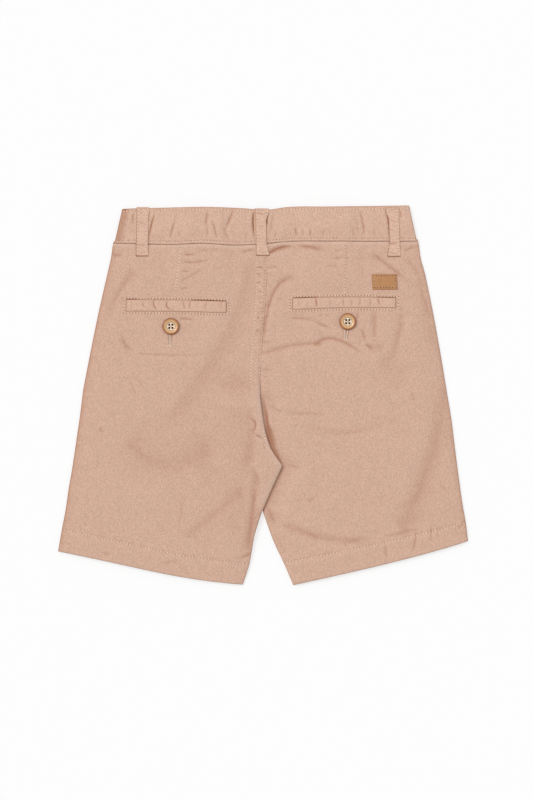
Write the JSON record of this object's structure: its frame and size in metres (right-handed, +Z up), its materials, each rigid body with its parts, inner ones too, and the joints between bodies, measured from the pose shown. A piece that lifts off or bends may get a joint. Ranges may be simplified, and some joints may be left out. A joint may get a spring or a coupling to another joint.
{
  "type": "bermuda shorts",
  "caption": "Child's twill bermuda shorts laid flat, back side up, with elasticated back waistband, belt loops, welt pockets, buttons and a bare patch.",
  "frame": {"origin": "middle of the outline, on the surface that the shorts lie on", "axes": "+Z up off the surface, out of the back of the shorts; +Y from the hems to the waistband; +X to the right of someone looking down at them, which is the wearer's right"},
  "size_m": [0.389, 0.36, 0.009],
  "materials": {
    "twill": "dusty beige-rose cotton twill, matt, faint diagonal weave",
    "button": "caramel rim and cream middle, soft gloss",
    "patch": "tan, smooth and matt"
  },
  "bodies": {
    "root": {"back_panel_left": "twill", "back_panel_right": "twill", "front_panel_left": "twill", "front_panel_right": "twill", "waistband_back": "twill", "waistband_front_left": "twill", "waistband_front_right": "twill", "belt_loop_back_left": "twill", "belt_loop_back_centre": "twill", "belt_loop_back_right": "twill", "belt_loop_front_left": "twill", "belt_loop_front_right": "twill", "pocket_welt_left": "twill", "pocket_welt_right": "twill", "pocket_button_left": "button", "pocket_button_right": "button", "label_patch": "patch"}
  },
  "joints": []
}
